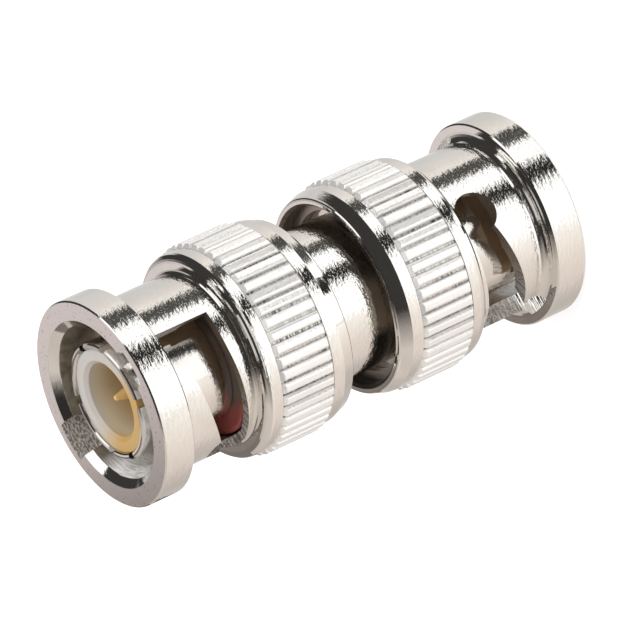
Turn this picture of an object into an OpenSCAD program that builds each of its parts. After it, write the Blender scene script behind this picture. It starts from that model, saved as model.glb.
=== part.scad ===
// Bayonet plug-to-plug coaxial adapter: a short barrel with a spring-loaded coupling nut on each end.
// It stands on the face of its lower nut. The axis is Z, and the lower nut face is at z = 0.
// Sizes called "from the face" run from a nut's front face inwards, so a longer adapter has a longer barrel.

/* [Overall] */
// overall length, nut face to nut face
length = 34.5; // [32:0.1:37]
// largest radius of the nut, over the front rim and the collar
rim_r = 7.25; // [6.8:0.05:7.8]

/* [Coupling nut] */
// length of the nut
nut_len = 15.4; // [15:0.05:15.8]
// radius of the nut's narrow waist
waist_r = 6.05; // [5.9:0.05:6.4]
// width of the front rim
rim_w = 2.35; // [1.8:0.05:3]
// fillet between the waist and the rim
rim_fillet = 0.65; // [0.2:0.05:0.8]
// where the collar steps down to the waist, from the face
step_depth = 8.15; // [8:0.05:8.4]
// round on the collar's front edge
collar_round = 0.6; // [0.3:0.05:0.8]
// radius of the bore that guides the mating barrel
bore_r = 4.9; // [4.85:0.01:5]
// radius of the mouth at the nut's front face
mouth_r = 5.9; // [5.6:0.05:6.1]
// width of the bevel round the mouth
mouth_bevel = 0.5; // [0.3:0.05:0.7]
// depth of the taper that leads from the mouth into the bore
lead_in = 1.6; // [1.2:0.05:2]
// radius of the chamber round the gasket
gasket_room_r = 5.45; // [5.4:0.01:5.5]
// front end of that chamber, from the face
gasket_room_depth = 5.25; // [4.9:0.05:5.7]
// radius of the chamber round the spring washers
spring_room_r = 6.25; // [6.2:0.01:6.35]
// radius of the groove that holds the retaining ring
ring_groove_r = 6.65; // [6.6:0.01:6.75]
// wall of the nut behind that groove, measured along the axis
ring_wall = 1.075; // [0.8:0.025:1.3]
// length of the taper at the nut's rear edge
tail_taper = 0.95; // [0.5:0.05:1.2]
// how much that taper takes off the radius
tail_drop = 0.25; // [0.1:0.05:0.35]

/* [Knurl] */
// number of ridges
ridges = 50; // [36:1:72]
// how far the ridges stand proud of the collar
knurl_proud = 0.25; // [0.1:0.01:0.35]
// depth of a groove, more than the ridges stand proud, so it ends in a notch in the collar
groove_depth = 0.38; // [0.26:0.01:0.45]
// front end of the knurl, from the face
knurl_depth = 9.42; // [9.2:0.01:9.8]
// length of the knurl
knurl_len = 4.16; // [3:0.01:4.3]
// length of the slope at each end of a ridge
ridge_end = 0.3; // [0.1:0.05:0.5]

/* [Bayonet cam] */
// width of an entry channel
channel_w = 2.64; // [2.3:0.01:2.8]
// radius that the entry channel reaches, more than the waist, so it opens through it
channel_r = 6.57; // [6.2:0.01:6.7]
// closed end of the entry channel, from the face
channel_depth = 7.03; // [6.7:0.01:7.2]
// turn between the entry channel and the locking hole
cam_turn = 90; // [70:1:100]
// radius of the locking hole
lock_r = 1.5; // [1.2:0.05:1.6]
// centre of the locking hole, from the face
lock_depth = 6.4; // [6.1:0.05:6.5]
// front edge of the cam slot beside the entry channel, from the face
cam_depth = 3.92; // [3.6:0.01:4.2]
// how far that edge drops on the way to the locking hole
cam_drop = 2.1; // [1.5:0.05:2.5]
// how far the slot's rear edge lies behind the centre of the locking hole
cam_behind = 1.4; // [1:0.05:1.5]
// where the top nut's entry channel stands, round the axis
top_turn = -77; // [-180:1:180]
// where the bottom nut's entry channel stands, round the axis
bottom_turn = -169; // [-180:1:180]

/* [Outer contact] */
// radius of the slotted contact tube
tube_r = 4.1; // [4.02:0.01:4.15]
// wall of the contact tube
tube_wall = 0.48; // [0.42:0.01:0.55]
// how far the contact tube lies behind the nut's face
tube_recess = 0.45; // [0.3:0.05:0.8]
// length of the slits
slit_len = 3.4; // [2:0.1:4]
// width of a slit
slit_w = 0.6; // [0.3:0.05:0.8]
// directions of the three saw cuts across the tube
slit_turns = [0, 76, 143]; // [0:1:179]
// front side of the flange that the springs bear on, from the face
flange_depth = 9.65; // [9.4:0.05:9.9]
// thickness of the flange
flange_t = 1.0; // [0.8:0.05:1.2]
// depth of the shallow neck that the gasket sits in
neck_depth = 0.2; // [0.1:0.01:0.25]
// radius of the seat behind the gasket
seat_r = 5.25; // [5:0.05:5.3]
// height of the seat above the flange
seat_t = 1.0; // [0.8:0.05:1.2]

/* [Middle barrel] */
// radius of the plain barrel between the nuts
barrel_r = 5.3; // [5:0.05:5.6]
// radius of the journal that the thrust washer slides on
journal_r = 4.65; // [4.6:0.01:4.7]
// how far the socket for the outer contact reaches into the plain barrel
socket_reach = 0.3; // [0.1:0.05:0.8]

/* [Inside] */
// radius of the insulator's cup
cup_r = 2.6; // [2.4:0.05:2.8]
// how far the insulator lies behind the nut's face
cup_recess = 0.65; // [0.5:0.05:1]
// depth of the cup
cup_depth = 4.7; // [3.5:0.1:5.5]
// width of the bevel at the cup's edge
cup_bevel = 0.25; // [0.1:0.05:0.35]
// radius of the centre pin
pin_r = 0.675; // [0.66:0.005:0.685]
// how far the pin's tip lies behind the nut's face
pin_recess = 1.15; // [0.9:0.05:1.8]
// radius of the pin's shank inside the insulators
shank_r = 0.9; // [0.8:0.05:1]
// radius of the pin's blunt tip
tip_r = 0.2; // [0.1:0.05:0.4]
// length of the tapered nose behind it
nose_len = 2.0; // [1.2:0.1:2.4]
// radius of the collar that holds the pin endways
pin_collar_r = 1.2; // [1:0.05:1.4]
// half the length of that collar
pin_collar_h = 1.0; // [0.6:0.1:1.5]
// thickness of the gasket
gasket_t = 1.0; // [0.8:0.05:1.2]
// round on the gasket's outer edge
gasket_round = 0.25; // [0.1:0.05:0.4]

/* [Springs and rings] */
// thickness of the retaining ring
ring_t = 0.6; // [0.5:0.05:0.65]
// width of the retaining ring's gap
ring_gap = 2.4; // [1:0.1:4]
// thickness of the thrust washer
thrust_t = 0.5; // [0.4:0.05:0.6]
// thickness of the spring washers' strip
spring_t = 0.25; // [0.2:0.01:0.3]

/* [Hidden] */
$fn = 96;
half = length / 2;
// broken edge of turned metal, and of the finer parts
edge = 0.1;
// radial clearance of the insulator in the contact tube, and of the pin in the insulator
insulator_fit = 0.02;
pin_fit = 0.01;
// gap between the nut's inner shoulder and the flange, and between stacked rings
stack_gap = 0.05;
// radial clearance of the retaining ring in its groove
ring_fit = 0.05;
// radial clearance of the thrust washer on the journal
thrust_fit = 0.07;
// radial clearance of the washers and the flange in the spring chamber
washer_room = 0.15;
// further radial clearance of the spring washers, which spread as they flatten
spread_room = 0.1;
// radial height of the lip behind the retaining ring
ring_lip = 0.25;
// radial clearance between the retaining ring and the plain barrel
ring_room = 0.45;
// radial clearance of the gasket outside and inside
gasket_out = 0.17;
gasket_in = 0.03;
// round on the nut's rear edge, and in the corner under the collar
tail_round = 0.2;
step_fillet = 0.2;
// taper between the gasket chamber and the bore
room_taper = 0.3;
// how far the retaining ring's front face lies past the end of the plain barrel
ring_step = 0.25;
// turn of the retaining rings' gaps
ring_turn = -90;
// Places along the axis, all measured from the middle of the adapter.
rim_rear = half - rim_w;
nut_rear = half - nut_len;
step_at = half - step_depth;
knurl_front = half - knurl_depth;
knurl_rear = knurl_front - knurl_len;
gasket_room_end = half - gasket_room_depth;
channel_end = half - channel_depth;
lock_at = half - lock_depth;
cam_front = half - cam_depth;
cam_rear = lock_at - cam_behind;
flange_front = half - flange_depth;
flange_rear = flange_front - flange_t;
seat_at = flange_front + seat_t;
neck_end = seat_at + gasket_t + stack_gap;
shoulder_at = flange_front + stack_gap;
groove_rear = nut_rear + ring_wall;
ring_rear = groove_rear + stack_gap / 2;
ring_front = ring_rear + ring_t;
groove_front = ring_front + stack_gap / 2;
barrel_end = ring_front - ring_step;
socket_end = barrel_end - socket_reach;
thrust_rear = ring_front + stack_gap;
thrust_front = thrust_rear + thrust_t;
tube_front = half - tube_recess;
cup_front = half - cup_recess;
cup_floor = cup_front - cup_depth;
shank_end = cup_floor + stack_gap;
pin_tip = half - pin_recess;
// The knurl is a band on a floor just under its grooves.
knurl_r = rim_r + knurl_proud;
knurl_floor = knurl_r - groove_depth - edge;
ridge_end_r = rim_r - edge / 2;
// Radii and heights that follow from the fits.
rear_open_r = ring_groove_r - ring_lip;
flange_r = spring_room_r - washer_room;
neck_r = tube_r - neck_depth;
tube_bore_r = tube_r - tube_wall;
insulator_r = tube_bore_r - insulator_fit;
spring_h = (flange_rear - thrust_front - stack_gap) / 2;
// The cam runs from the locking hole to two short steps before the entry channel.
cam_step = 6;
cam_run = cam_turn - 2 * cam_step;

// A point of an arc, for turned profiles.
function arc(cr, cz, r, a) = [cr + r * cos(a), cz + r * sin(a)];
// Edges of the cam slot, by the turn from the locking hole.
function cam_top(d) = cam_front - cam_drop * pow(1 - min(d, cam_run) / cam_run, 1.5);
function cam_bottom(d) = cam_rear + (channel_end - cam_rear) * min(d, cam_run) / cam_run;

// Stands a part of one end in place: the top end is drawn upright and the bottom end upside down.
module at_top() { translate([0, 0, half]) children(); }
module at_bottom() { translate([0, 0, half]) rotate([180, 0, 0]) children(); }

module tube(ro, ri, z0, z1) {
  difference() {
    translate([0, 0, z0]) cylinder(r = ro, h = z1 - z0);
    translate([0, 0, z0 - 1]) cylinder(r = ri, h = z1 - z0 + 2);
  }
}

// The nut's turned shape, without knurl and slots.
module nut_turned() {
  rotate_extrude() polygon(concat(
    [[rear_open_r + 2 * edge, nut_rear]],
    [for (a = [-90:30:0]) arc(rim_r - tail_drop - tail_round, nut_rear + tail_round, tail_round, a)],
    [[rim_r, nut_rear + tail_taper], [rim_r, step_at - collar_round]],
    [for (a = [15:15:90]) arc(rim_r - collar_round, step_at - collar_round, collar_round, a)],
    [for (a = [270:-30:180]) arc(waist_r + step_fillet, step_at + step_fillet, step_fillet, a)],
    [for (a = [180:-15:90]) arc(waist_r + rim_fillet, rim_rear - rim_fillet, rim_fillet, a)],
    [[rim_r - edge, rim_rear], [rim_r, rim_rear + edge], [rim_r, half - edge], [rim_r - edge, half]],
    [[mouth_r, half], [mouth_r - mouth_bevel, half - mouth_bevel], [bore_r, half - lead_in]],
    [[bore_r, gasket_room_end + room_taper], [gasket_room_r, gasket_room_end]],
    [[gasket_room_r, shoulder_at], [spring_room_r, shoulder_at], [spring_room_r, groove_front]],
    [[ring_groove_r, groove_front], [ring_groove_r, groove_rear]],
    [[rear_open_r, groove_rear], [rear_open_r, nut_rear + 2 * edge]]
  ));
}

// Straight knurl: a ring with flat-topped ridges that slope at their ends, and narrow grooves. Each ridge is
// drawn as pairs of its place in the pitch and its depth as a part of the groove's.
module knurl_band() {
  pitch = 360 / ridges;
  ridge = [[0.07, 1], [0.13, 0.4], [0.21, 0.1], [0.33, 0], [0.67, 0], [0.79, 0.1], [0.87, 0.4], [0.93, 1]];
  intersection() {
    translate([0, 0, knurl_rear]) linear_extrude(height = knurl_len)
      polygon([for (i = [0:ridges - 1], s = ridge)
        (knurl_r - groove_depth * s[1]) * [cos((i + s[0]) * pitch), sin((i + s[0]) * pitch)]]);
    rotate_extrude() polygon([
      [knurl_floor - edge, knurl_rear], [ridge_end_r, knurl_rear], [knurl_r + edge, knurl_rear + ridge_end],
      [knurl_r + edge, knurl_front - ridge_end], [ridge_end_r, knurl_front], [knurl_floor - edge, knurl_front]
    ]);
  }
}

// One bayonet slot: an entry channel from the front face, the sloping cam and the locking hole.
module cam_slot() {
  intersection() {
    translate([0, -channel_w / 2, channel_end]) cube([channel_r + 1, channel_w, half - channel_end + 1]);
    translate([0, 0, channel_end - 1]) cylinder(r = channel_r, h = half - channel_end + 3);
  }
  for (d = [cam_step:cam_step:cam_turn - cam_step]) rotate([0, 0, d - cam_turn]) cam_piece(d);
  rotate([0, 0, -cam_turn]) translate([bore_r - 1, 0, lock_at]) rotate([0, 90, 0])
    cylinder(r = lock_r, h = rim_r);
}

// One short piece of the sloping cam, cut straight through the wall.
module cam_piece(d) {
  s = cam_step / 2;
  w = (waist_r + step_fillet) * tan(s);
  translate([bore_r - 1, 0, 0]) rotate([90, 0, 90]) linear_extrude(height = rim_r)
    polygon([[-w, cam_bottom(d - s)], [w, cam_bottom(d + s)], [w, cam_top(d + s)], [-w, cam_top(d - s)]]);
}

// Coupling nut: turned from brass bar and plated, with two bayonet slots half a turn apart.
module coupling_nut() {
  difference() {
    union() {
      difference() {
        nut_turned();
        tube(knurl_r + 1, knurl_floor, knurl_rear, knurl_front);
      }
      knurl_band();
    }
    cam_slot();
    rotate([0, 0, 180]) cam_slot();
  }
}

// Outer contact: slotted tube, gasket seat and spring flange in one turned piece, pressed into the barrel.
module contact_shell() {
  nose_r = (tube_r - tube_bore_r) / 2;
  difference() {
    rotate_extrude() polygon(concat(
      [[tube_bore_r, socket_end], [tube_r - edge, socket_end], [tube_r, socket_end + edge]],
      [[tube_r, flange_rear], [flange_r - edge, flange_rear], [flange_r, flange_rear + edge]],
      [[flange_r, flange_front - edge], [flange_r - edge, flange_front]],
      [[seat_r, flange_front], [seat_r, seat_at], [neck_r, seat_at]],
      [[neck_r, neck_end], [tube_r, neck_end]],
      [for (a = [0:30:180]) arc(tube_bore_r + nose_r, tube_front - nose_r, nose_r, a)]
    ));
    for (t = slit_turns) rotate([0, 0, t])
      translate([-tube_r - 1, -slit_w / 2, tube_front - slit_len])
        cube([2 * tube_r + 2, slit_w, slit_len + 1]);
  }
}

// Middle barrel: plain between the nuts, with a journal and a socket at each end.
module center_body() {
  color("silver") translate([0, 0, half]) difference() {
    union() {
      tube(barrel_r, tube_bore_r, -barrel_end, barrel_end);
      tube(journal_r, tube_bore_r, -flange_rear, flange_rear);
    }
    translate([0, 0, socket_end]) cylinder(r = tube_r, h = flange_rear);
    translate([0, 0, -socket_end - flange_rear]) cylinder(r = tube_r, h = flange_rear);
  }
}

// Insulator: a plastic rod with a deep cup in front, a pin hole and half of the pocket for the pin's collar.
module insulator() {
  difference() {
    cylinder(r = insulator_r, h = cup_front);
    translate([0, 0, cup_floor]) cylinder(r = cup_r, h = cup_front);
    translate([0, 0, cup_front - cup_bevel])
      cylinder(r1 = cup_r, r2 = cup_r + 2 * cup_bevel, h = 2 * cup_bevel);
    translate([0, 0, -1]) cylinder(r = shank_r + pin_fit, h = cup_front);
    translate([0, 0, -1]) cylinder(r = pin_collar_r + pin_fit, h = 1 + pin_collar_h + pin_fit);
  }
}

// Centre pin: one gold-plated pin with a tapered nose at each end and a collar in the middle.
module center_pin() {
  tip = concat(
    [[0, pin_tip]],
    [for (a = [90:-30:30]) arc(tip_r - edge, pin_tip - edge, edge, a)],
    [[pin_r, pin_tip - nose_len]]
  );
  color("gold") translate([0, 0, half]) rotate_extrude() polygon(concat(
    tip,
    [[pin_r, shank_end], [shank_r, shank_end]],
    [[shank_r, pin_collar_h], [pin_collar_r, pin_collar_h]],
    [[pin_collar_r, -pin_collar_h], [shank_r, -pin_collar_h]],
    [[shank_r, -shank_end], [pin_r, -shank_end]],
    [for (i = [len(tip) - 1:-1:0]) [tip[i][0], -tip[i][1]]]
  ));
}

// Gasket: a flat silicone ring with rounded edges on the seat.
module gasket() {
  ro = gasket_room_r - gasket_out;
  ri = neck_r + gasket_in;
  z0 = seat_at;
  z1 = seat_at + gasket_t;
  rotate_extrude() polygon(concat(
    [[ri, z0], [ro - edge, z0], [ro, z0 + edge]],
    [for (a = [0:30:90]) arc(ro - gasket_round, z1 - gasket_round, gasket_round, a)],
    [[ri + edge, z1], [ri, z1 - edge]]
  ));
}

// Spring washer: a flat ring bowed round one diameter. Two of them lie crown to crown.
module spring_washer() {
  ro = spring_room_r - washer_room - spread_room;
  rise = spring_h - spring_t;
  bow = (ro * ro + rise * rise) / (2 * rise);
  wide = 2 * ro + 2;
  intersection() {
    tube(ro, journal_r + washer_room, -1, spring_h + 1);
    translate([0, wide / 2, spring_h - bow]) rotate([90, 0, 0]) difference() {
      cylinder(r = bow, h = wide, $fn = 360);
      translate([0, 0, -1]) cylinder(r = bow - spring_t, h = wide + 2, $fn = 360);
    }
    translate([-wide / 2, -wide / 2, 0]) cube([wide, wide, spring_h + 1]);
  }
}

module spring_rear() { translate([0, 0, thrust_front + stack_gap / 2]) spring_washer(); }
module spring_front() { translate([0, 0, flange_rear - stack_gap / 2]) mirror([0, 0, 1]) spring_washer(); }

module thrust_washer() {
  tube(spring_room_r - washer_room, journal_r + thrust_fit, thrust_rear, thrust_front);
}

// Retaining ring: a split ring sprung into the groove in the nut.
module retaining_ring() {
  difference() {
    tube(ring_groove_r - ring_fit, barrel_r + ring_room, ring_rear, ring_front);
    translate([0, -ring_gap / 2, ring_rear - 1]) cube([rim_r, ring_gap, ring_t + 2]);
  }
}

module contact_shell_top() { color("silver") at_top() contact_shell(); }
module contact_shell_bottom() { color("silver") at_bottom() contact_shell(); }
module insulator_top() { color("white") at_top() insulator(); }
module insulator_bottom() { color("white") at_bottom() insulator(); }
module gasket_top() { color("darkred") at_top() gasket(); }
module gasket_bottom() { color("darkred") at_bottom() gasket(); }
module spring_washer_front_top() { color("gray") at_top() spring_front(); }
module spring_washer_rear_top() { color("gray") at_top() spring_rear(); }
module spring_washer_front_bottom() { color("gray") at_bottom() spring_front(); }
module spring_washer_rear_bottom() { color("gray") at_bottom() spring_rear(); }
module thrust_washer_top() { color("silver") at_top() thrust_washer(); }
module thrust_washer_bottom() { color("silver") at_bottom() thrust_washer(); }
module retaining_ring_top() { color("gray") at_top() rotate([0, 0, ring_turn]) retaining_ring(); }
module retaining_ring_bottom() { color("gray") at_bottom() rotate([0, 0, ring_turn]) retaining_ring(); }
module coupling_nut_top() { color("lightgray") at_top() rotate([0, 0, top_turn]) coupling_nut(); }
module coupling_nut_bottom() { color("lightgray") at_bottom() rotate([0, 0, -bottom_turn]) coupling_nut(); }

center_body();
contact_shell_top();
contact_shell_bottom();
insulator_top();
insulator_bottom();
center_pin();
gasket_top();
gasket_bottom();
spring_washer_front_top();
spring_washer_rear_top();
spring_washer_front_bottom();
spring_washer_rear_bottom();
thrust_washer_top();
thrust_washer_bottom();
retaining_ring_top();
retaining_ring_bottom();
coupling_nut_top();
coupling_nut_bottom();
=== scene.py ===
import math

import bmesh
import bpy
from mathutils import Matrix, Vector


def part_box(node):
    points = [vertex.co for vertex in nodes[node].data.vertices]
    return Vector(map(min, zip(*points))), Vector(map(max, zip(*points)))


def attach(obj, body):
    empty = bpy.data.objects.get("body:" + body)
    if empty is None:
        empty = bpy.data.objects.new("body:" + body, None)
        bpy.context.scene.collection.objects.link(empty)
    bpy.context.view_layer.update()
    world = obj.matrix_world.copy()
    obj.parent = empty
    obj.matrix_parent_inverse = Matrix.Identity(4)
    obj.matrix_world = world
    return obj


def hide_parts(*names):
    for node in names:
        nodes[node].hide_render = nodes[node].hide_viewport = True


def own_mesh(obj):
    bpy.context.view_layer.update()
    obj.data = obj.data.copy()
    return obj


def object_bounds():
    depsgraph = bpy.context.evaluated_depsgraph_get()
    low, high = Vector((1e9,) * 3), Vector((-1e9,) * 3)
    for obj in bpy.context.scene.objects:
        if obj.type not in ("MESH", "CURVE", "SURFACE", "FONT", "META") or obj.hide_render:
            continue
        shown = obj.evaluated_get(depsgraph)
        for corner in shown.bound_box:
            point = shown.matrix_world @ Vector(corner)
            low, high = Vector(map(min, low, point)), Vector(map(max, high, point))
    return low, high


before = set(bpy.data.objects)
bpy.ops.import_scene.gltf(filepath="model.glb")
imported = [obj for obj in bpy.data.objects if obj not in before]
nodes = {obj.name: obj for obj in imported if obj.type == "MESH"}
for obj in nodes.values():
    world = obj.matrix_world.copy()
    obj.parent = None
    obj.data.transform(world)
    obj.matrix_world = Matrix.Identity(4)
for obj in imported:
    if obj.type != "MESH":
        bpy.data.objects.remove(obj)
cad_low, cad_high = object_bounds()

# ---------------------------------------------------------------------------
# The camera. It looks down on the standing adapter with a long lens and is
# rolled, so the adapter's upper end points to the lower left of the picture.
# ---------------------------------------------------------------------------
aim = Vector((-0.000095, 0.0, 0.017552))
eye_distance = 0.48769
eye_elevation = math.radians(28.185)
camera_roll = math.radians(-114.75)
toward_eye = Vector((0.0, -math.cos(eye_elevation), math.sin(eye_elevation)))


def add_object(name, data):
    """An object with this mesh, light or camera, put into the scene."""
    made = bpy.data.objects.new(name, data)
    bpy.context.scene.collection.objects.link(made)
    return made


camera_data = bpy.data.cameras.new("camera")
camera_data.sensor_width = 36.0
camera_data.lens = 428.94
camera_data.clip_start = 0.01
camera_data.clip_end = 10.0
camera = add_object("camera", camera_data)
level = toward_eye.to_track_quat("Z", "Y").to_matrix().to_4x4()
camera.matrix_world = (
    Matrix.Translation(aim + toward_eye * eye_distance)
    @ level
    @ Matrix.Rotation(camera_roll, 4, "Z")
)
bpy.context.scene.camera = camera

# ---------------------------------------------------------------------------
# The middle barrel. Turned from brass bar and plated with bright nickel. The
# tool leaves short marks round the axis, and the plating rounds them over.
# ---------------------------------------------------------------------------
turned_radius = 0.00725
mark_length, mark_width = 0.00062, 0.00025
fleck_length, fleck_width, fleck_share = 0.00024, 0.00012, 0.18
swell_scale, swell_depth = 1400.0, 2.5e-6
wall_tilt, round_tilt, round_grain = 0.08, 0.22, 0.28
cloud_scale, cloud_shade, cloud_dulling = 420.0, 0.94, 1.6
plate_tint, plate_roughness, plate_grain = (0.92, 0.90, 0.87), 0.045, 2.0e-5


def new_material(name):
    """A node material with its surface shader, ready to be wired."""
    material = bpy.data.materials.new(name)
    material.use_nodes = True
    tree = material.node_tree
    return material, tree, tree.nodes["Principled BSDF"]


def link(tree, source, target):
    tree.links.new(source, target)


def maths(tree, operation, first, second=None):
    """One maths node. Each operand is a plain number or another node's output."""
    node = tree.nodes.new("ShaderNodeMath")
    node.operation = operation
    for socket, value in zip(node.inputs, (first, second)):
        if value is None:
            continue
        if isinstance(value, (int, float)):
            socket.default_value = value
        else:
            link(tree, value, socket)
    return node.outputs[0]


def times(tree, first, second):
    return maths(tree, "MULTIPLY", first, second)


def smooth_step(tree, value, start, end):
    """Rises from 0 to 1 while the value goes from start to end."""
    node = tree.nodes.new("ShaderNodeMapRange")
    node.interpolation_type = "SMOOTHSTEP"
    link(tree, value, node.inputs["Value"])
    node.inputs["From Min"].default_value = start
    node.inputs["From Max"].default_value = end
    return node.outputs["Result"]


def colour_mix(tree, factor, first, second):
    """Mixes two colours, each a tuple or another node's output."""
    node = tree.nodes.new("ShaderNodeMix")
    node.data_type = "RGBA"
    link(tree, factor, node.inputs["Factor"])
    for socket, value in ((node.inputs[6], first), (node.inputs[7], second)):
        if isinstance(value, tuple):
            socket.default_value = (*value, 1.0)
        else:
            link(tree, value, socket)
    return node.outputs[2]


def value_mix(tree, factor, first, second):
    """Mixes two values, each a number or another node's output."""
    node = tree.nodes.new("ShaderNodeMix")
    link(tree, factor, node.inputs["Factor"])
    for socket, value in ((node.inputs[2], first), (node.inputs[3], second)):
        if isinstance(value, (int, float)):
            socket.default_value = value
        else:
            link(tree, value, socket)
    return node.outputs[0]


def place(tree):
    """The place on the piece: its coordinates together, then x, y and z apart."""
    coordinates = tree.nodes.new("ShaderNodeTexCoord").outputs["Object"]
    split = tree.nodes.new("ShaderNodeSeparateXYZ")
    link(tree, coordinates, split.inputs[0])
    x, y, z = split.outputs
    return coordinates, x, y, z


def turn_at(tree, x, y):
    """The angle round the axis."""
    return maths(tree, "ARCTAN2", y, x)


def face_normal(tree):
    """The surface's direction on the piece, as x, y and z."""
    split = tree.nodes.new("ShaderNodeSeparateXYZ")
    link(tree, tree.nodes.new("ShaderNodeTexCoord").outputs["Normal"], split.inputs[0])
    return list(split.outputs)


def noise(tree, vector, scale, detail=2.0, rough=0.5):
    node = tree.nodes.new("ShaderNodeTexNoise")
    link(tree, vector, node.inputs["Vector"])
    node.inputs["Scale"].default_value = scale
    node.inputs["Detail"].default_value = detail
    node.inputs["Roughness"].default_value = rough
    return node.outputs["Fac"]


def blotches(tree, coordinates, scale, detail=2.0):
    """Soft patches, 1 in them and 0 between them."""
    return smooth_step(tree, noise(tree, coordinates, scale, detail), 0.35, 0.7)


def bump(tree, heights, shader):
    """Stacks several heights, each with its depth in metres, into one normal."""
    normal = None
    for height_map, depth in heights:
        node = tree.nodes.new("ShaderNodeBump")
        node.inputs["Strength"].default_value = 1.0
        node.inputs["Distance"].default_value = depth
        link(tree, height_map, node.inputs["Height"])
        if normal is not None:
            link(tree, normal, node.inputs["Normal"])
        normal = node.outputs["Normal"]
    link(tree, normal, shader.inputs["Normal"])


def turned_strokes(tree, z, turn, length, width):
    """Short marks that run round the axis, of this length and width in metres."""
    joined = tree.nodes.new("ShaderNodeCombineXYZ")
    link(tree, times(tree, turn, turned_radius / length), joined.inputs["X"])
    link(tree, times(tree, z, 1.0 / width), joined.inputs["Y"])
    return noise(tree, joined.outputs[0], 1.0, 2.0, 0.55)


def plated_grain(tree, coordinates, z, turn, depth):
    """The plate's relief: marks on the straight walls, fainter on rounds, and a slow swell."""
    tilt = maths(tree, "ABSOLUTE", face_normal(tree)[2])
    upright = value_mix(tree, smooth_step(tree, tilt, wall_tilt, round_tilt), 1.0, round_grain)
    marks = times(tree, turned_strokes(tree, z, turn, mark_length, mark_width), upright)
    flecks = turned_strokes(tree, z, turn, fleck_length, fleck_width)
    flecks = times(tree, smooth_step(tree, flecks, 0.52, 0.74), upright)
    swell = noise(tree, coordinates, swell_scale, 1.0)
    return [(swell, swell_depth), (marks, depth), (flecks, depth * fleck_share)]


def bright_nickel(name, tint, roughness, grain_depth):
    """Bright nickel plate over turned brass."""
    material, tree, shader = new_material(name)
    coordinates, x, y, z = place(tree)
    cloud = blotches(tree, coordinates, cloud_scale)
    darker = tuple(channel * cloud_shade for channel in tint)
    link(tree, colour_mix(tree, cloud, tint, darker), shader.inputs["Base Color"])
    dull = value_mix(tree, cloud, roughness, roughness * cloud_dulling)
    link(tree, dull, shader.inputs["Roughness"])
    shader.inputs["Metallic"].default_value = 1.0
    bump(tree, plated_grain(tree, coordinates, z, turn_at(tree, x, y), grain_depth), shader)
    return material


def dress(names, material):
    """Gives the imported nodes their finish."""
    for name in names:
        node = nodes[name]
        if not node.material_slots:
            node.data.materials.append(material)
        for slot in node.material_slots:
            slot.link = "OBJECT"
            slot.material = material


dress(["center_body"], bright_nickel("bright_nickel", plate_tint, plate_roughness, plate_grain))

# ---------------------------------------------------------------------------
# The outer contacts. Thin slotted tubes with the gasket's seat and the spring
# flange behind them, turned in one piece, nickel-plated, pressed into the barrel.
# ---------------------------------------------------------------------------
contact_tint, contact_roughness, contact_grain = (0.86, 0.83, 0.79), 0.09, 8.0e-6
contact_nickel = bright_nickel("contact_nickel", contact_tint, contact_roughness, contact_grain)
dress(["contact_shell_top", "contact_shell_bottom"], contact_nickel)

# ---------------------------------------------------------------------------
# The insulators. Waxy white fluoroplastic, turned with a deep cup in front and
# pushed into the contact tubes. Light goes a little way in. The cup is painted
# warmer and darker the deeper it goes, as painted shade and glow, and the rim's
# edge is painted with a warm glow on one side.
# ---------------------------------------------------------------------------
middle = (cad_high.z + cad_low.z) / 2
half = (cad_high.z - cad_low.z) / 2
cup_recess = 0.00065
cool_edge, painted_glow_edge = (0.50, 0.475, 0.445), (0.52, 0.32, 0.10)
painted_shade_cup_wall, painted_shade_cup_floor, mottle_tint = (0.56, 0.48, 0.34), (0.50, 0.36, 0.20), (0.55, 0.46, 0.33)


def off_middle(tree, z):
    """How far up or down from the adapter's middle."""
    return maths(tree, "ABSOLUTE", maths(tree, "SUBTRACT", z, middle))


insulator_plastic, tree, shader = new_material("insulator_plastic")
coordinates, x, y, z = place(tree)
depth = maths(tree, "SUBTRACT", half - cup_recess, off_middle(tree, z))
# Painted light: the rim's edge is painted with a warm glow towards -x.
painted_glow_side = maths(tree, "ADD", times(tree, x, -0.86), times(tree, y, -0.5))
edge = colour_mix(tree, smooth_step(tree, painted_glow_side, -0.0008, 0.0022), cool_edge, painted_glow_edge)
# Painted shade and glow: tan on the cup's wall, darker and warmer on its floor.
near_edge = colour_mix(tree, smooth_step(tree, depth, 0.0001, 0.0010), edge, painted_shade_cup_wall)
in_cup = colour_mix(tree, smooth_step(tree, depth, 0.0008, 0.0024), near_edge, painted_shade_cup_floor)
mottle = smooth_step(tree, noise(tree, coordinates, 700.0, 3.0), 0.3, 0.75)
link(tree, colour_mix(tree, times(tree, mottle, 0.18), in_cup, mottle_tint),
     shader.inputs["Base Color"])
shader.inputs["Roughness"].default_value = 0.42
shader.inputs["Subsurface Weight"].default_value = 0.3
shader.inputs["Subsurface Radius"].default_value = (1.0, 0.75, 0.5)
shader.inputs["Subsurface Scale"].default_value = 0.0005
bump(tree, [(noise(tree, coordinates, 5000.0), 1.0e-6)], shader)
dress(["insulator_top", "insulator_bottom"], insulator_plastic)

# ---------------------------------------------------------------------------
# The centre pin. One turned brass pin with a tapered nose at each end, gold
# plated, held endways by its collar between the two insulators.
# ---------------------------------------------------------------------------
deep_gold, pale_gold = (0.98, 0.60, 0.17), (1.0, 0.80, 0.40)

gold, tree, shader = new_material("gold_plate")
coordinates, x, y, z = place(tree)
shader.inputs["Metallic"].default_value = 0.6
link(tree, colour_mix(tree, noise(tree, coordinates, 2500.0), deep_gold, pale_gold),
     shader.inputs["Base Color"])
link(tree, value_mix(tree, noise(tree, coordinates, 6000.0), 0.10, 0.26),
     shader.inputs["Roughness"])
bump(tree, [(noise(tree, coordinates, 7000.0, 1.0), 4.0e-6)], shader)
dress(["center_pin"], gold)

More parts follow.
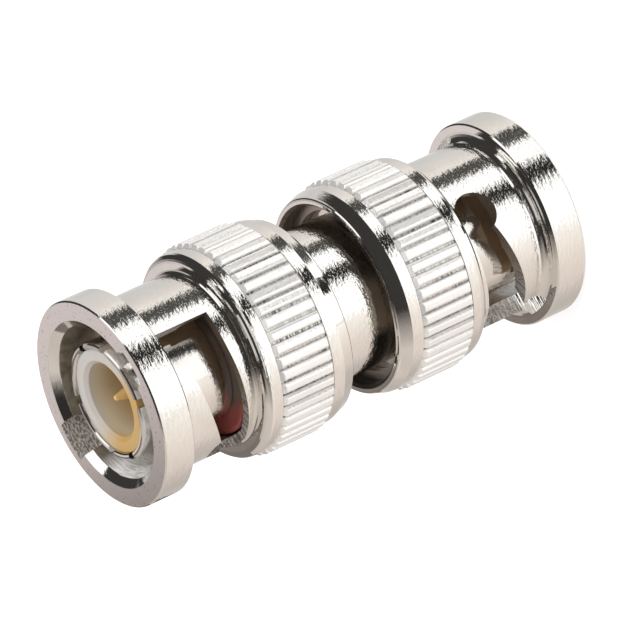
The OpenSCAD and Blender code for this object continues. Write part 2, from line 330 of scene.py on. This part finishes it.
# ---------------------------------------------------------------------------
# The gaskets. Flat rings of dark red silicone, moulded, sitting in a shallow
# neck of the contact tube on its seat.
# ---------------------------------------------------------------------------
painted_shade_silicone, painted_lit_silicone, dusty_silicone = (
    (0.095, 0.070, 0.056), (0.30, 0.062, 0.050), (0.10, 0.035, 0.028))

silicone, tree, shader = new_material("red_silicone")
coordinates, x, y, z = place(tree)
# Painted shade: the gasket is painted brown, and its own red shows only towards -x, where the light
# falls.
silicone_painted_shade = colour_mix(tree, smooth_step(tree, x, -0.0032, -0.0043), painted_shade_silicone, painted_lit_silicone)
dust = times(tree, blotches(tree, coordinates, 1800.0, 3.0), 0.3)
link(tree, colour_mix(tree, dust, silicone_painted_shade, dusty_silicone), shader.inputs["Base Color"])
link(tree, value_mix(tree, noise(tree, coordinates, 3500.0), 0.45, 0.65),
     shader.inputs["Roughness"])
bump(tree, [(noise(tree, coordinates, 4000.0), 6.0e-6)], shader)
dress(["gasket_top", "gasket_bottom"], silicone)

# ---------------------------------------------------------------------------
# The split retaining rings, one in the rear of each nut. Coiled from spring
# steel strip, oiled, left grey, and sprung into the nut's groove.
# ---------------------------------------------------------------------------
steel_dark, steel_light = (0.40, 0.36, 0.32), (0.56, 0.51, 0.45)
rolled_length, rolled_width, rolled_depth = 0.0012, 0.00006, 3.0e-6

spring_steel, tree, shader = new_material("spring_steel")
coordinates, x, y, z = place(tree)
shader.inputs["Metallic"].default_value = 1.0
link(tree, colour_mix(tree, noise(tree, coordinates, 900.0), steel_dark, steel_light),
     shader.inputs["Base Color"])
link(tree, value_mix(tree, noise(tree, coordinates, 4000.0), 0.28, 0.45),
     shader.inputs["Roughness"])
rolled = turned_strokes(tree, z, turn_at(tree, x, y), rolled_length, rolled_width)
bump(tree, [(rolled, rolled_depth)], shader)
dress(["retaining_ring_top", "retaining_ring_bottom"], spring_steel)

# ---------------------------------------------------------------------------
# The spring washers, two at each end. Stamped from the same strip and bowed
# round one diameter, they lie crown to crown between the contact's flange and
# the thrust washer.
# ---------------------------------------------------------------------------
spring_outer, spring_inner = 0.0060, 0.0048
strip_thickness, strip_edge = 0.00025, 0.00003
spring_steps = 96
crease = math.radians(30)


def bowed_spring(name, node, crown_up):
    """A bowed spring washer in its node's place, its crown turned up or down."""
    low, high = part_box(node)
    rise = high.z - low.z - strip_thickness
    bow = (spring_outer ** 2 + rise ** 2) / (2 * rise)
    # the strip's outline, as its distance from the axis, its height over the
    # bowed face and whether that is the upper face
    section = [
        (spring_inner + strip_edge, 0.0, 0), (spring_outer - strip_edge, 0.0, 0),
        (spring_outer, strip_edge, 0), (spring_outer, -strip_edge, 1),
        (spring_outer - strip_edge, 0.0, 1), (spring_inner + strip_edge, 0.0, 1),
        (spring_inner, -strip_edge, 1), (spring_inner, strip_edge, 0),
    ]
    count = len(section)
    points, faces = [], []
    for step in range(spring_steps):
        angle = 2 * math.pi * step / spring_steps
        for reach, inset, upper in section:
            x_at, y_at = reach * math.cos(angle), reach * math.sin(angle)
            arc = bow if upper else bow - strip_thickness
            bowed_to = rise + strip_thickness - bow + math.sqrt(arc ** 2 - x_at ** 2)
            rise_at = max(0.0, bowed_to) + inset
            points.append((x_at, y_at, low.z + rise_at if crown_up else high.z - rise_at))
    for step in range(spring_steps):
        following = (step + 1) % spring_steps
        for corner in range(count):
            beside = (corner + 1) % count
            faces.append((step * count + corner, following * count + corner,
                          following * count + beside, step * count + beside))
    mesh = bpy.data.meshes.new(name)
    mesh.from_pydata(points, [], faces)
    shape = bmesh.new()
    shape.from_mesh(mesh)
    bmesh.ops.recalc_face_normals(shape, faces=shape.faces)
    shape.to_mesh(mesh)
    shape.free()
    mesh.shade_smooth()
    mesh.set_sharp_from_angle(angle=crease)
    mesh.materials.append(spring_steel)
    spring = add_object(name, mesh)
    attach(spring, "adapter")
    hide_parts(node)
    return spring


for end, outward in (("top", 1), ("bottom", -1)):
    for spot, crown_up in (("front", outward < 0), ("rear", outward > 0)):
        spring = bowed_spring(f"bowed_spring_{spot}_{end}", f"spring_washer_{spot}_{end}", crown_up)
        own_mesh(spring)

# ---------------------------------------------------------------------------
# The thrust washers between spring and retaining ring. Stamped brass, plated
# like the contacts.
# ---------------------------------------------------------------------------
dress(["thrust_washer_top", "thrust_washer_bottom"], contact_nickel)

# ---------------------------------------------------------------------------
# The coupling nuts. Turned, milled and knurled brass in bright nickel plate.
# The front face was cut last and is satin, with fine pits in the plating. The
# knurl is rougher than the rest, with painted shade in its grooves. Inside, the
# plate is thin and stained, painted darker as the bore's shade, and painted
# lighter on its lit side.
# ---------------------------------------------------------------------------
# depths behind the front face
face_end, face_full = 0.00003, 0.00001
bevel_end, bore_start = 0.0005, 0.00056
painted_lit_full, painted_lit_end = 0.0026, 0.0034
slot_front, slot_rear = 0.0028, 0.0085
milled_full, milled_end = 0.0084, 0.0086
cavity_front, cavity_rear, cavity_blur = 0.0030, 0.0099, 0.0004
knurl_front, knurl_rear = 0.00942, 0.01358
tail_front, tail_full = 0.0128, 0.0134
cut_blur = 0.00002
# distances from the axis
slot_skin, slot_wall = 0.00612, 0.00606
channel_wall, channel_floor = 0.0063, 0.0064
knurl_floor, knurl_flank = 0.00705, 0.00710
groove_top, groove_floor = 0.00730, 0.00716
seam_top, seam_floor = 0.00724, 0.00719
# lengths and widths of the tool's marks and of the painted shade's dashes, and the depth of the
# roughest
chatter_length, chatter_width, chatter_depth = 0.00034, 0.00012, 6.0e-5
polish_length, polish_width = 0.0016, 0.00012
seam_length, seam_width = 0.0007, 0.00016
seam_shade_length, seam_shade_width = 0.0011, 0.0024
# colours
cloudy_plate = (0.865, 0.845, 0.815)
satin_face, satin_pit = (0.90, 0.855, 0.84), (0.55, 0.50, 0.49)
stain_and_shade_light, stain_and_shade_dark = (0.20, 0.165, 0.12), (0.11, 0.085, 0.055)
cavity_brown = (0.62, 0.46, 0.31)
tail_painted_light, tail_painted_shade = (0.60, 0.50, 0.40), (0.045, 0.036, 0.030)
painted_lit_bright, painted_lit_grey = (0.98, 0.97, 0.95), (0.66, 0.64, 0.62)
cut_brown, cut_bright, cut_shaded = (0.30, 0.265, 0.22), (0.95, 0.93, 0.90), (0.20, 0.15, 0.11)
ridge_bright, ridge_cloudy = (0.99, 0.975, 0.955), (0.96, 0.945, 0.925)
painted_shade_foot = (0.84, 0.82, 0.795)
seam_shade_light, seam_shade_dark = (0.56, 0.54, 0.52), (0.14, 0.13, 0.12)


def between(tree, value, low, high, soft):
    """1 where the value lies between low and high, with soft edges."""
    return times(tree, smooth_step(tree, value, low - soft, low + soft),
                 smooth_step(tree, value, high + soft, high - soft))


def radius_at(tree, x, y):
    """The distance from the axis."""
    return maths(tree, "SQRT", maths(tree, "ADD", times(tree, x, x), times(tree, y, y)))


# where each kind of surface is, from 0 to 1
nut_nickel, tree, shader = new_material("nut_nickel")
coordinates, x, y, z = place(tree)
turn, radius = turn_at(tree, x, y), radius_at(tree, x, y)
from_middle = off_middle(tree, z)
face_x, face_y = face_normal(tree)[:2]
facing_out = maths(tree, "DIVIDE",
                   maths(tree, "ADD", times(tree, face_x, x), times(tree, face_y, y)), radius)
on_face = smooth_step(tree, from_middle, half - face_end, half - face_full)
inside = smooth_step(tree, facing_out, -0.25, -0.55)
deep = times(tree, inside, smooth_step(tree, from_middle, half - bevel_end, half - bore_start))
knurled = times(tree, between(tree, from_middle, half - knurl_rear, half - knurl_front, cut_blur),
                smooth_step(tree, radius, knurl_floor, knurl_flank))
cut_wall = times(tree, between(tree, from_middle, half - slot_rear, half - slot_front, cut_blur),
                 smooth_step(tree, maths(tree, "ABSOLUTE", facing_out), 0.35, 0.2))
milled = maths(tree, "MAXIMUM",
               times(tree, inside, smooth_step(tree, radius, channel_wall, channel_floor)),
               times(tree, cut_wall, smooth_step(tree, radius, slot_skin, slot_wall)))
milled = times(tree, milled,
               smooth_step(tree, from_middle, half - milled_end, half - milled_full))

# the outside: bright plate, and the satin front face with its pits
cloud = blotches(tree, coordinates, cloud_scale)
bright = colour_mix(tree, cloud, plate_tint, cloudy_plate)
pits = smooth_step(tree, noise(tree, coordinates, 5200.0, 1.0), 0.66, 0.74)
satin = colour_mix(tree, pits, satin_face, satin_pit)

# the inside: stained and painted dark as the bore's shade, browner in the
# gasket's cavity, with painted light on one side of the tail and painted shade
# low in it, and painted light at the mouth on one side, with polish marks in it
# Painted shade: the whole inside is stained in blotches and painted dark as the bore's shade.
stain_and_shade = colour_mix(tree, blotches(tree, coordinates, 1500.0, 3.0), stain_and_shade_light, stain_and_shade_dark)
cavity = between(tree, from_middle, half - cavity_rear, half - cavity_front, cavity_blur)
stain_and_shade = colour_mix(tree, cavity, stain_and_shade, cavity_brown)
in_tail = smooth_step(tree, from_middle, half - tail_front, half - tail_full)
# Painted light and shade in the tail: lighter towards -x, and dark furthest towards -x.
tail_painted_lit_side = times(tree, in_tail, smooth_step(tree, x, 0.0012, -0.0010))
tail_painted_shade_low = times(tree, in_tail, smooth_step(tree, x, -0.0040, -0.0052))
stain_and_shade = colour_mix(tree, tail_painted_lit_side, stain_and_shade, tail_painted_light)
stain_and_shade = colour_mix(tree, tail_painted_shade_low, stain_and_shade, tail_painted_shade)
# Painted light: the mouth's inside is painted bright on one side, where light falls, with polish
# marks in it.
leaning = maths(tree, "ADD", x, times(tree, y, 0.45))
painted_lit_side = maths(tree, "MAXIMUM", smooth_step(tree, leaning, -0.0008, -0.0030),
                   smooth_step(tree, y, -0.0004, -0.0022))
at_mouth = smooth_step(tree, from_middle, half - painted_lit_end, half - painted_lit_full)
polish = turned_strokes(tree, z, turn, polish_length, polish_width)
painted_lit_wall = colour_mix(tree, smooth_step(tree, polish, 0.4, 0.62), painted_lit_bright, painted_lit_grey)
stain_shade_and_painted_light = colour_mix(tree, times(tree, painted_lit_side, at_mouth), stain_and_shade, painted_lit_wall)

# the milled slots, with the cutter's chatter in them and painted shade on their walls, except
# towards -x
chatter = times(tree, turned_strokes(tree, z, turn, chatter_length, chatter_width), 0.6)
chatter = maths(tree, "ADD", chatter, times(tree, noise(tree, coordinates, 6500.0, 2.0, 0.6), 0.4))
shadow_side = smooth_step(tree, x, -0.0042, -0.0026)
cut_marks_and_shade = colour_mix(tree, smooth_step(tree, chatter, 0.42, 0.58), cut_brown, cut_bright)
cut_marks_and_shade = colour_mix(tree, times(tree, shadow_side, cut_wall), cut_marks_and_shade, cut_shaded)

# the knurl: rubbed ridges, painted shade at their feet, and painted shade in broken dashes along
# parts of each seam
knurl_tone_and_shade = colour_mix(tree, cloud, ridge_bright, ridge_cloudy)
knurl_tone_and_shade = colour_mix(tree, smooth_step(tree, radius, groove_top, groove_floor), knurl_tone_and_shade, painted_shade_foot)
# Painted shade: broken dashes along each seam, darker in places.
seam = times(tree, smooth_step(tree, radius, seam_top, seam_floor),
             smooth_step(tree, turned_strokes(tree, z, turn, seam_length, seam_width), 0.42, 0.58))
darker_seam_dash = smooth_step(tree, turned_strokes(tree, z, turn, seam_shade_length, seam_shade_width), 0.48, 0.62)
knurl_tone_and_shade = colour_mix(tree, seam, knurl_tone_and_shade, colour_mix(tree, darker_seam_dash, seam_shade_light, seam_shade_dark))

# all of them laid over each other
colour = colour_mix(tree, on_face, bright, satin)
colour = colour_mix(tree, deep, colour, stain_shade_and_painted_light)
colour = colour_mix(tree, milled, colour, cut_marks_and_shade)
colour = colour_mix(tree, knurled, colour, knurl_tone_and_shade)
link(tree, colour, shader.inputs["Base Color"])
finish = value_mix(tree, on_face, plate_roughness, 0.36)
finish = value_mix(tree, deep, finish, 0.30)
finish = value_mix(tree, milled, finish, 0.34)
finish = value_mix(tree, knurled, finish, 0.18)
link(tree, finish, shader.inputs["Roughness"])
metal = value_mix(tree, knurled, 1.0, 0.56)
metal = value_mix(tree, deep, metal, 0.35)
metal = value_mix(tree, milled, metal, 0.7)
link(tree, metal, shader.inputs["Metallic"])
rough_cut = times(tree, chatter, maths(tree, "MAXIMUM", milled, times(tree, knurled, 0.45)))
grain = plated_grain(tree, coordinates, z, turn, plate_grain)
bump(tree, grain + [(rough_cut, chatter_depth)], shader)
dress(["coupling_nut_top", "coupling_nut_bottom"], nut_nickel)

# ---------------------------------------------------------------------------
# The floor. A plain white table; it takes the shadow, and it is kept out of
# the metal, which mirrors the studio instead.
# ---------------------------------------------------------------------------
floor_half = 1.5
floor_gap = 0.00002
floor_own_light = 0.35


def sheet(name, corners):
    """A flat sheet through four corners."""
    mesh = bpy.data.meshes.new(name)
    mesh.from_pydata(corners, [], [(0, 1, 2, 3)])
    return add_object(name, mesh)


floor = sheet("floor", [(-floor_half, -floor_half, 0), (floor_half, -floor_half, 0),
                        (floor_half, floor_half, 0), (-floor_half, floor_half, 0)])
floor.location.z = cad_low.z - floor_gap
floor.visible_glossy = False
floor_white, tree, shader = new_material("floor_white")
shader.inputs["Base Color"].default_value = (0.86, 0.86, 0.86, 1.0)
shader.inputs["Roughness"].default_value = 0.9
shader.inputs["Specular IOR Level"].default_value = 0.0
shader.inputs["Emission Color"].default_value = (1.0, 1.0, 1.0, 1.0)
path = tree.nodes.new("ShaderNodeLightPath")
link(tree, times(tree, path.outputs["Is Camera Ray"], floor_own_light),
     shader.inputs["Emission Strength"])
floor.data.materials.append(floor_white)

# ---------------------------------------------------------------------------
# The studio. A white tent lights everything evenly. What the bright metal
# mirrors is the tent with its dark gaps, the warm bench side and the dark room.
# ---------------------------------------------------------------------------
to_degrees = 180 / math.pi
# the tent's wall hangs in folds; these are in degrees
fold_start, fold_height, fold_swing = 28.2, 29, 12.0
white = (1.25, 1.25, 1.24)
black = (0.03, 0.028, 0.026)
dim = (0.042, 0.040, 0.038)
ceiling, slat = (0.66, 0.64, 0.62), (0.80, 0.78, 0.76)


def round_view(tree, share, stops):
    """What the metal sees all round: (turn in degrees, colour) pairs from -180 to 180."""
    node = tree.nodes.new("ShaderNodeValToRGB")
    link(tree, share, node.inputs["Fac"])
    elements = node.color_ramp.elements
    while len(elements) > 1:
        elements.remove(elements[-1])
    for index, (degrees, colour) in enumerate(stops):
        position = degrees / 360 + 0.5
        element = elements[0] if index == 0 else elements.new(position)
        element.position = position
        element.color = (*colour, 1.0)
    return node.outputs["Color"]


world = bpy.data.worlds.new("studio")
bpy.context.scene.world = world
world.use_nodes = True
tree = world.node_tree
background = tree.nodes["Background"]
split = tree.nodes.new("ShaderNodeSeparateXYZ")
link(tree, tree.nodes.new("ShaderNodeTexCoord").outputs["Generated"], split.inputs[0])
east, north, up = split.outputs
azimuth = times(tree, maths(tree, "ARCTAN2", east, times(tree, north, -1.0)), to_degrees)
elevation = times(tree, maths(tree, "ARCSINE", up), to_degrees)
round_share = maths(tree, "ADD", maths(tree, "DIVIDE", azimuth, 360.0), 0.5)
fold = times(tree, maths(tree, "ADD", elevation, fold_start), math.pi / fold_height)
fold = times(tree, maths(tree, "SINE", fold), fold_swing / 360)
tent = round_view(tree, maths(tree, "ADD", round_share, fold), [
    (-180, (0.76, 0.73, 0.70)), (-164, (0.58, 0.54, 0.51)), (-140, (0.52, 0.48, 0.44)),
    (-120, (0.60, 0.54, 0.50)), (-104, (0.76, 0.68, 0.63)), (-80, (0.83, 0.735, 0.665)),
    (-60, (0.92, 0.85, 0.78)), (-44, (1.02, 0.97, 0.91)), (-37, (1.1, 1.06, 1.01)),
    (-35, (0.70, 0.69, 0.68)), (-33, white), (17, white), (21, black), (40, black), (44, white),
    (68, white), (73, (0.10, 0.10, 0.095)), (90, (0.07, 0.068, 0.062)), (96, (0.95, 0.91, 0.86)),
    (108, (0.80, 0.76, 0.72)), (130, (0.69, 0.67, 0.65)), (150, (0.64, 0.63, 0.62)),
    (166, (0.72, 0.71, 0.69)), (180, (0.76, 0.73, 0.70)),
])
room = round_view(tree, round_share, [
    (-180, (0.66, 0.60, 0.585)), (-160, (0.52, 0.47, 0.44)), (-130, (0.60, 0.54, 0.49)),
    (-85, (0.66, 0.60, 0.54)), (-60, (0.34, 0.31, 0.29)), (-40, dim), (148, dim),
    (160, (0.45, 0.42, 0.41)), (172, (0.66, 0.60, 0.59)), (180, (0.66, 0.60, 0.585)),
])
upper = colour_mix(tree, smooth_step(tree, elevation, 50, 62), room, black)
upper = colour_mix(tree, smooth_step(tree, elevation, 70, 75), upper, ceiling)
window = times(tree, between(tree, elevation, 36, 56, 1.5), between(tree, azimuth, 62, 101, 1.5))
upper = colour_mix(tree, window, upper, white)
slats = times(tree, between(tree, elevation, 15, 19, 1.0), between(tree, azimuth, -60, 60, 2.0))
upper = colour_mix(tree, slats, upper, slat)
mirrored = colour_mix(tree, smooth_step(tree, elevation, -12, -6), tent, upper)
path = tree.nodes.new("ShaderNodeLightPath")
link(tree, colour_mix(tree, path.outputs["Is Glossy Ray"], (1.0, 1.0, 1.0), mirrored),
     background.inputs["Color"])
background.inputs["Strength"].default_value = 1.0

# One soft lamp, high on the camera's side, gives the light a direction. The
# metal doesn't mirror it.
key_place, key_aim = Vector((0.32, -0.22, 0.42)), Vector((0, 0, 0.017))
key_data = bpy.data.lights.new("key", "AREA")
key_data.shape = "DISK"
key_data.size = 0.35
key_data.energy = 1.0
key = add_object("key", key_data)
key.location = key_place
key.rotation_euler = (key_aim - key_place).to_track_quat("-Z", "Y").to_euler()
key.visible_glossy = False

# A graded card stands close behind the adapter. Only the metal sees it, so it is
# a painted reflection: light beside the upper edge of every flat face, painted
# shade towards the other side.
card_left, card_right, card_y, card_low, card_top = -0.030, 0.012, 0.040, 0.012, 0.075
grade_start, grade_end = -0.0085, 0.0015
card_reflected_shade, card_reflected_light = (0.20, 0.175, 0.155), (0.72, 0.655, 0.64)
card = sheet("graded_card", [(card_left, card_y, card_low), (card_right, card_y, card_low),
                             (card_right, card_y, card_top), (card_left, card_y, card_top)])
card.visible_camera = False
card.visible_diffuse = False
card.visible_shadow = False
card.visible_transmission = False
card_painted_reflection, tree, shader = new_material("card_painted_reflection")
coordinates, x, y, z = place(tree)
link(tree, colour_mix(tree, smooth_step(tree, x, grade_start, grade_end), card_reflected_shade, card_reflected_light),
     shader.inputs["Emission Color"])
shader.inputs["Emission Strength"].default_value = 1.0
shader.inputs["Base Color"].default_value = (0.0, 0.0, 0.0, 1.0)
shader.inputs["Specular IOR Level"].default_value = 0.0
card.data.materials.append(card_painted_reflection)

bpy.context.scene.view_settings.view_transform = "Standard"
